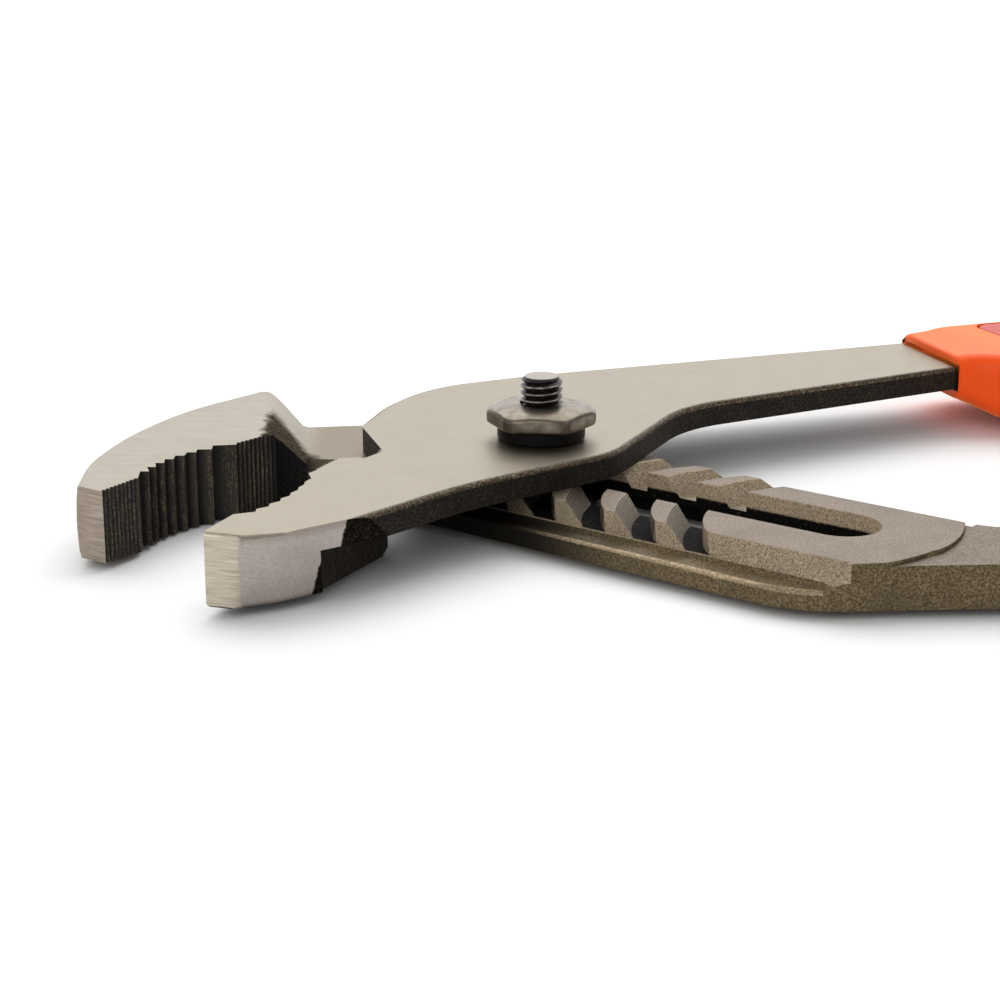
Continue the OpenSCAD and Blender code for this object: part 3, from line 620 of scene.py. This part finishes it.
round_edges(upper_arm, 0.65, 3, lambda a, b: at_level(PLATE_TOP, a, b) and off_bolt(a, b) and
            min(a.x, b.x) > -25, finish=upper_finishes.index(worn_edge))
round_edges(upper_arm, 0.8, 4, lambda a, b: at_level(PLATE_TOP, a, b) and max(a.y, b.y) < -39 and
            max(a.x, b.x) < -24.9)
round_edges(upper_arm, 0.5, 3, lambda a, b: max(a.z, b.z) < 0.05 and max(a.y, b.y) < -24)
round_edges(upper_arm, 1.0, 4, lambda a, b: abs(a.z - b.z) > 5 and max(a.x, b.x) < -36 and
            max(a.y, b.y) < -43 and min(a.x, b.x) > -39.6, least_angle=8)
mark_ridges(upper_arm)
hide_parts("upper_arm")
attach(upper_arm, "upper")
shade(upper_arm, 28)

# Pivot bolt: turned from steel bar and blackened, with a flat-sided head that can't turn in its
# channel, a plain shoulder in the slot and a rolled M6 thread that stands out of the nut.
HEAD_R, HEAD_FLATS, HEAD_TOP = 8, 13, 2.3
SHOULDER_R, SHOULDER_TOP = 4.9, 9.9
CORE_R, CREST_R, PITCH, BOLT_TOP = 2.4, 3.0, 1.0, 18.8
ROOT_FLAT, FLANK = 0.06, 0.82  # shares of half a pitch


def turned_blank(name, radius, low, high, sides):
    """A cylinder on the bolt's axis between two levels in mm, with its place in its mesh."""
    bpy.ops.object.select_all(action="DESELECT")
    bpy.ops.mesh.primitive_cylinder_add(vertices=sides, radius=radius * MM, depth=(high - low) * MM,
                                        location=(0, 0, (low + high) / 2 * MM))
    piece = bpy.context.object
    piece.name = name
    bpy.ops.object.transform_apply(location=True, rotation=True, scale=True)
    return piece


bolt = turned_blank("pivot_bolt_turned", HEAD_R, 0, HEAD_TOP, 64)
select_faces(bolt, lambda p, n: n.z > 0.9)
for inset, rise in ((HEAD_R - SHOULDER_R, SHOULDER_TOP - HEAD_TOP),
                    (SHOULDER_R - CORE_R, BOLT_TOP - SHOULDER_TOP)):
    bpy.ops.mesh.inset(thickness=inset * MM)
    bpy.ops.mesh.extrude_region_move(TRANSFORM_OT_translate={"value": (0, 0, rise * MM)})
bpy.ops.object.mode_set(mode="OBJECT")
for side in (1, -1):
    across = Vector((math.sin(SLOT_TURN), math.cos(SLOT_TURN), 0)) * side
    cut(bolt, lambda p, n: True, across * HEAD_FLATS / 2, across, use_fill=True, clear_outer=True)
round_edges(bolt, 0.3, 2, lambda a, b: max(a.z, b.z) < 0.01)
# The thread's blank is cut into ten rings for each pitch, which are then moved out to the flanks.
select_edges(bolt, lambda a, b: min(a.z, b.z) < SHOULDER_TOP + 0.1 and max(a.z, b.z) > BOLT_TOP - 0.1,
             least_angle=0)
bpy.ops.mesh.subdivide(number_cuts=round(10 * (BOLT_TOP - SHOULDER_TOP) / PITCH) - 1)
bpy.ops.object.mode_set(mode="OBJECT")


def thread_shift(p):
    """Shift from the core out to the thread's flank, about one crest in each turn."""
    if p.z < SHOULDER_TOP + 0.05 or p.xy.length < 1:
        return 0, 0, 0
    turns = (p.z - SHOULDER_TOP) / PITCH - math.atan2(p.y, p.x) / (2 * math.pi)
    off_root = abs(2 * (turns % 1) - 1)
    radius = CORE_R + (CREST_R - CORE_R) * min(1, max(0, (off_root - ROOT_FLAT) / FLANK))
    out = min(radius, CORE_R - 0.1 + BOLT_TOP - p.z) - p.xy.length
    return out * p.x / p.xy.length, out * p.y / p.xy.length, 0


nudge(bolt, thread_shift)

# Black oxide: near black and faintly glossy, bare bright steel on the thread's end, and pale on its crests
# from wear and a painted highlight.
black_oxide, tree, shader, place = new_material("black_oxide_steel", 0.75, 0.38)
axes = add_node(tree, "ShaderNodeSeparateXYZ", {0: place})
flat = add_node(tree, "ShaderNodeCombineXYZ", {0: axes.outputs[0], 1: axes.outputs[1]})
radius = add_node(tree, "ShaderNodeVectorMath", {0: flat.outputs[0]}, operation="LENGTH")
worn_and_lit = add_node(tree, "ShaderNodeTexNoise", {"Vector": place, "Scale": 1 / (0.7 * MM), "Detail": 3})
grit = add_node(tree, "ShaderNodeTexNoise", {"Vector": place, "Scale": 1 / (0.25 * MM), "Detail": 2})
ragged_radius = add_node(tree, "ShaderNodeMath", {0: worn_and_lit.outputs[0],
                                         1: 0.3 * MM, 2: radius.outputs["Value"]},
                operation="MULTIPLY_ADD")
# Wear and painted highlight: the thread's crests turn pale steel.
crest = add_node(tree, "ShaderNodeMapRange", {"Value": ragged_radius.outputs[0], 1: 3.0 * MM, 2: 3.16 * MM,
                                              3: 0.0, 4: 0.8})
outside = add_node(tree, "ShaderNodeMath", {0: radius.outputs["Value"], 1: 3.1 * MM},
                   operation="LESS_THAN")
crest_worn_and_lit = add_node(tree, "ShaderNodeMath", {0: crest.outputs[0], 1: outside.outputs[0]},
                      operation="MULTIPLY")
end = add_node(tree, "ShaderNodeMapRange", {"Value": axes.outputs[2], 1: 18.7 * MM, 2: 18.79 * MM,
                                            3: 0.0, 4: 0.7})
bare = add_node(tree, "ShaderNodeMath", {0: crest_worn_and_lit.outputs[0], 1: end.outputs[0]},
                operation="MAXIMUM")
oxide = add_node(tree, "ShaderNodeValToRGB", {"Fac": grit.outputs[0]},
                 stops=[(0.35, "#171614"), (0.7, "#35322E")])
colour = add_node(tree, "ShaderNodeMix", {0: bare.outputs[0], 6: oxide.outputs[0],
                                          7: srgb("#A39C92")},
                  data_type="RGBA")
bump = add_node(tree, "ShaderNodeBump", {"Height": grit.outputs[0], "Strength": 0.2,
                                         "Distance": 0.03 * MM})
tree.links.new(colour.outputs[2], shader.inputs["Base Color"])
tree.links.new(bump.outputs[0], shader.inputs["Normal"])
bolt.data.materials.append(black_oxide)
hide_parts("pivot_bolt")
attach(bolt, "pivot")
shade(bolt, 35)

# Pivot washer: a thick turned ring of blackened steel between the nut and the upper arm, smooth and
# oily. Its rim is rounded, and the bolt's thread passes through it.
WASHER_R, WASHER_BORE, WASHER_TOP = 6.2, 3.1, 12.0
washer = turned_blank("pivot_washer_turned", WASHER_R, SHOULDER_TOP, WASHER_TOP, 72)
round_edges(washer, 0.45, 4, lambda a, b: abs(a.z - b.z) < 0.01)


def bored(piece, bore):
    """Opens a round hole of a radius in mm through a turned piece."""
    for side in (1, -1):
        select_faces(piece, lambda p, n: n.z * side > 0.99 and p.xy.length < 0.3)
        bpy.ops.mesh.inset(thickness=0.2 * MM)
        bpy.ops.object.mode_set(mode="OBJECT")
        rim = {i for face in piece.data.polygons if face.select for i in face.vertices}
        for i in rim:
            point = piece.data.vertices[i].co
            point.xy = point.xy.normalized() * bore * MM
        bpy.ops.object.mode_set(mode="EDIT")
        bpy.ops.mesh.delete(type="ONLY_FACE")
        bpy.ops.object.mode_set(mode="OBJECT")
    bpy.context.tool_settings.mesh_select_mode = (False, True, False)
    bpy.ops.object.mode_set(mode="EDIT")
    bpy.ops.mesh.select_all(action="DESELECT")
    bpy.ops.mesh.select_non_manifold()
    bpy.ops.mesh.bridge_edge_loops()
    bpy.ops.object.mode_set(mode="OBJECT")


bored(washer, WASHER_BORE)
# Oiled oxide: black and glossy, with faint turning lines round its rim about 0.15 mm apart.
oiled_oxide, tree, shader, place = new_material("oiled_black_oxide_steel", 0.0, 0.45)
shader.inputs["Specular IOR Level"].default_value = 0.12
level = add_node(tree, "ShaderNodeMapping", {"Vector": place,
                                             "Scale": (1 / (6 * MM), 1 / (6 * MM), 1 / (0.15 * MM))})
lines = add_node(tree, "ShaderNodeTexNoise", {"Vector": level.outputs[0], "Scale": 1, "Detail": 2})
tint = add_node(tree, "ShaderNodeValToRGB", {"Fac": lines.outputs[0]},
                stops=[(0.3, "#080706"), (0.7, "#131110")])
bump = add_node(tree, "ShaderNodeBump", {"Height": lines.outputs[0], "Strength": 0.15,
                                         "Distance": 0.02 * MM})
tree.links.new(tint.outputs[0], shader.inputs["Base Color"])
tree.links.new(bump.outputs[0], shader.inputs["Normal"])
washer.data.materials.append(oiled_oxide)
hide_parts("pivot_washer")
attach(washer, "pivot")
shade(washer, 35)

# Pivot nut: a low hexagon nut of plated steel, its corners and rims turned round and worn. Two
# blows of a chisel on its top face stake it to the thread, so that it can't work loose.
NUT_R, NUT_FLATS, NUT_TOP, NUT_BORE = 7.7, 14.2, 14.7, 3.02
FLATS_TURN = 24
DOME_START, DOME_REACH, DOME_DROP, DOME_RISE = 3, 4.2, 0.85, 0.3
DENTS = ((-4.3, 3.4, 1.8, 0.6), (3.6, 2.1, 1.5, 0.55))  # middle, half length and half width in mm
DENT_DEPTH = 0.45
nut = turned_blank("pivot_nut_staked", NUT_R, WASHER_TOP, NUT_TOP, 96)


def flats_shift(p):
    """Shift of a point on the blank's rim in to the nearest of the six flats."""
    turn = (math.degrees(math.atan2(p.y, p.x)) - FLATS_TURN + 30) % 60 - 30
    share = min(0, NUT_FLATS / 2 / math.cos(math.radians(turn)) / NUT_R - 1)
    return p.x * share, p.y * share, 0


nudge(nut, flats_shift)
round_edges(nut, 0.5, 3, lambda a, b: min(a.z, b.z) > NUT_TOP - 0.01)
round_edges(nut, 0.5, 3, lambda a, b: max(a.z, b.z) < WASHER_TOP + 0.01)
bored(nut, NUT_BORE)
# The top face is cut into rings, which the dome and the dents then move.
select_edges(nut, lambda a, b: min(a.z, b.z) > NUT_TOP - 0.01 and abs(a.xy.length - b.xy.length) > 1,
             least_angle=-1)
bpy.ops.mesh.subdivide(number_cuts=11)
bpy.ops.object.mode_set(mode="OBJECT")


def stake_shift(p):
    """A low dome, with two lens-shaped dents across the radius that the chisel stood on."""
    depth = DOME_DROP * max(0, (p.xy.length - DOME_START) / DOME_REACH) ** 2 - DOME_RISE
    for x, y, length, width in DENTS:
        reach = math.hypot(x, y)
        out = ((p.x - x) * x + (p.y - y) * y) / reach
        along = ((p.y - y) * x - (p.x - x) * y) / reach
        depth += DENT_DEPTH * max(0, 1 - (along / length) ** 2 - (out / width) ** 2)
    return 0, 0, -depth * smooth_step(NUT_TOP - 1.5, NUT_TOP - 0.3, p.z)


nudge(nut, stake_shift)
# Worn zinc plating: a mottled satin grey with faint dark smudges of oil.
worn_zinc, tree, shader, place = new_material("worn_zinc_steel", 1.0, 0.34)
mottle = add_node(tree, "ShaderNodeTexNoise", {"Vector": place, "Scale": 1 / (1.4 * MM),
                                               "Detail": 4, "Roughness": 0.6})
smudge = add_node(tree, "ShaderNodeTexNoise", {"Vector": place, "Scale": 1 / (2.6 * MM), "Detail": 3})
tint = add_node(tree, "ShaderNodeValToRGB", {"Fac": mottle.outputs[0]},
                stops=[(0.3, "#5F584D"), (0.7, "#7F776A"), (0.5, "#6F675B")])
oil = add_node(tree, "ShaderNodeMapRange", {"Value": smudge.outputs[0], 1: 0.54, 2: 0.68,
                                            3: 0.0, 4: 0.35})
colour = add_node(tree, "ShaderNodeMix", {0: oil.outputs[0], 6: tint.outputs[0], 7: srgb("#4A443A")},
                  data_type="RGBA")
sheen = add_node(tree, "ShaderNodeMapRange", {"Value": mottle.outputs[0], 1: 0.3, 2: 0.7,
                                              3: 0.38, 4: 0.28})
bump = add_node(tree, "ShaderNodeBump", {"Height": mottle.outputs[0], "Strength": 0.12,
                                         "Distance": 0.1 * MM})
tree.links.new(colour.outputs[2], shader.inputs["Base Color"])
tree.links.new(sheen.outputs[0], shader.inputs["Roughness"])
tree.links.new(bump.outputs[0], shader.inputs["Normal"])
nut.data.materials.append(worn_zinc)
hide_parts("pivot_nut")
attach(nut, "pivot")
shade(nut, 32)

# Sleeves: moulded grips of orange plastic, pushed warm over the bars. Each has a rounded mouth, a
# thumb stop on its inner side, a closed round end and a pocket in each face for an inlay.
# For each mouth: its middle in mm, the bar's heading in degrees, the side that its slant leans to,
# the level of the bar's middle and half the bar's width in mm, and the body that it rides on.
MOUTHS = {"upper_sleeve": (64.3, 51.1, 22, -1, 8.05, 9.2, "upper"),
          "lower_sleeve": (76, -35.3, -0.5, 1, 2.8, 7.5, "lower")}
MOUTH_SLANT = math.tan(math.radians(5))

# Moulded plastic: satin orange, a little cloudy, with a fine orange-peel skin about 0.6 mm across
# and a warm sheen at low angles.
orange_grip, tree, shader, place = new_material("moulded_orange_plastic", 0.0, 0.4)
shader.inputs["Specular IOR Level"].default_value = 0.2
shader.inputs["Sheen Weight"].default_value = 0.6
shader.inputs["Sheen Roughness"].default_value = 0.4
shader.inputs["Sheen Tint"].default_value = srgb("#FFD060")
cloud = add_node(tree, "ShaderNodeTexNoise", {"Vector": place, "Scale": 1 / (9 * MM), "Detail": 3})
peel = add_node(tree, "ShaderNodeTexNoise", {"Vector": place, "Scale": 1 / (0.6 * MM), "Detail": 2})
tint = add_node(tree, "ShaderNodeValToRGB", {"Fac": cloud.outputs[0]},
                stops=[(0.3, "#EC4A0A"), (0.7, "#F4540E")])
sheen = add_node(tree, "ShaderNodeMapRange", {"Value": cloud.outputs[0], 1: 0.3, 2: 0.7,
                                              3: 0.36, 4: 0.46})
bump = add_node(tree, "ShaderNodeBump", {"Height": peel.outputs[0], "Strength": 0.12,
                                         "Distance": 0.05 * MM})
tree.links.new(tint.outputs[0], shader.inputs["Base Color"])
tree.links.new(sheen.outputs[0], shader.inputs["Roughness"])
tree.links.new(bump.outputs[0], shader.inputs["Normal"])

for node, (x, y, heading, side, middle, half, body) in MOUTHS.items():
    turn = math.radians(heading)

    def from_mouth(p):
        """Distances in mm of a point along the bar from the slanted mouth, and off its middle line."""
        left = ((p.y - y) * math.cos(turn) - (p.x - x) * math.sin(turn)) * side
        along = (p.x - x) * math.cos(turn) + (p.y - y) * math.sin(turn)
        return along + MOUTH_SLANT * left, left

    def at_mouth(a, b):
        return abs(from_mouth(a)[0]) < 0.03 and abs(from_mouth(b)[0]) < 0.03

    def on_rim(p):
        """Whether a point of the mouth is on its outer rim, and not round the bar."""
        return abs(from_mouth(p)[1]) > half + 0.3 or abs(p.z - middle) > 2.9

    sleeve = merged_copy(node, node + "_moulded")
    round_edges(sleeve, 0.6, 4, lambda a, b: at_mouth(a, b) and on_rim(a) and on_rim(b))
    round_edges(sleeve, 0.6, 3, lambda a, b: at_mouth(a, b) and not on_rim(a) and not on_rim(b))
    sleeve.data.materials.append(orange_grip)
    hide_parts(node)
    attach(sleeve, body)
    shade(sleeve, 40)

# Inlaid panels: strips of softer red rubber, moulded into the pockets of the sleeves' faces and
# flush with them. Their edges are slightly rounded, which leaves a dark line round each.
# Moulded rubber: dull red, with a fine matt grain about 0.3 mm across.
red_inlay, tree, shader, place = new_material("moulded_red_rubber", 0.0, 0.55)
grain = add_node(tree, "ShaderNodeTexNoise", {"Vector": place, "Scale": 1 / (0.3 * MM), "Detail": 3})
cloud = add_node(tree, "ShaderNodeTexNoise", {"Vector": place, "Scale": 1 / (7 * MM), "Detail": 2})
tint = add_node(tree, "ShaderNodeValToRGB", {"Fac": cloud.outputs[0]},
                stops=[(0.3, "#BE3A2C"), (0.7, "#C84434")])
sheen = add_node(tree, "ShaderNodeMapRange", {"Value": grain.outputs[0], 1: 0.3, 2: 0.7,
                                              3: 0.62, 4: 0.48})
bump = add_node(tree, "ShaderNodeBump", {"Height": grain.outputs[0], "Strength": 0.3,
                                         "Distance": 0.05 * MM})
tree.links.new(tint.outputs[0], shader.inputs["Base Color"])
tree.links.new(sheen.outputs[0], shader.inputs["Roughness"])
tree.links.new(bump.outputs[0], shader.inputs["Normal"])

for node in ("upper_panel_top", "upper_panel_bottom", "lower_panel_top", "lower_panel_bottom"):
    low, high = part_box(node)
    outer = high[2] / MM if node.endswith("top") else low[2] / MM
    panel = merged_copy(node, node + "_inlay")
    round_edges(panel, 0.25, 3, lambda a, b: at_level(outer, a, b, 0.02))
    panel.data.materials.append(red_inlay)
    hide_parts(node)
    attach(panel, node.split("_")[0])
    shade(panel, 40)

# Floor, light and camera: a sheet of white paper under large softboxes, the main one over the tool,
# seen from the front and a little above.
bpy.ops.object.select_all(action="DESELECT")
bpy.ops.mesh.primitive_plane_add(size=6, location=(0, 1, cad_box[0].z))
floor = bpy.context.object
floor.name = "floor"
# Matt paper: plain and nearly white.
paper, tree, shader, place = new_material("matt_white_paper", 0.0, 0.9)
shader.inputs["Base Color"].default_value = srgb("#F2F2F2")
floor.data.materials.append(paper)


def softbox(name, place, towards, width, height, radiance):
    """A lit rectangle of a size in m, whose power follows from its radiance."""
    lamp = bpy.data.lights.new(name, "AREA")
    lamp.shape = "RECTANGLE"
    lamp.size = width
    lamp.size_y = height
    lamp.energy = radiance * width * height * math.pi
    box = bpy.data.objects.new(name, lamp)
    bpy.context.scene.collection.objects.link(box)
    box.location = place
    box.rotation_euler = (Vector(towards) - Vector(place)).to_track_quat("-Z", "Y").to_euler()


softbox("overhead_softbox", (0, 0.75, 1.15), (0, 0.05, 0), 2.2, 1.4, 2.2)
softbox("back_softbox", (0, 1.8, 0.6), (0, 0, 0.1), 3.0, 1.2, 1.0)
softbox("front_fill", (-0.9, -1.4, 0.9), (0, 0, 0), 1.8, 1.3, 1.3)

world = bpy.data.worlds.new("studio")
world.use_nodes = True
backdrop = world.node_tree.nodes["Background"]
backdrop.inputs["Color"].default_value = (1, 1, 1, 1)
backdrop.inputs["Strength"].default_value = 0.5
bpy.context.scene.world = world
bpy.context.scene.view_settings.view_transform = "Standard"

lens = bpy.data.cameras.new("camera")
lens.sensor_width = 36
lens.lens = 79.2
lens.clip_start = 0.01
camera = bpy.data.objects.new("camera", lens)
bpy.context.scene.collection.objects.link(camera)
camera.location = (-5.8 * MM, -298.9 * MM, 92 * MM)
camera.rotation_euler = (math.radians(73), 0, 0)
bpy.context.scene.camera = camera
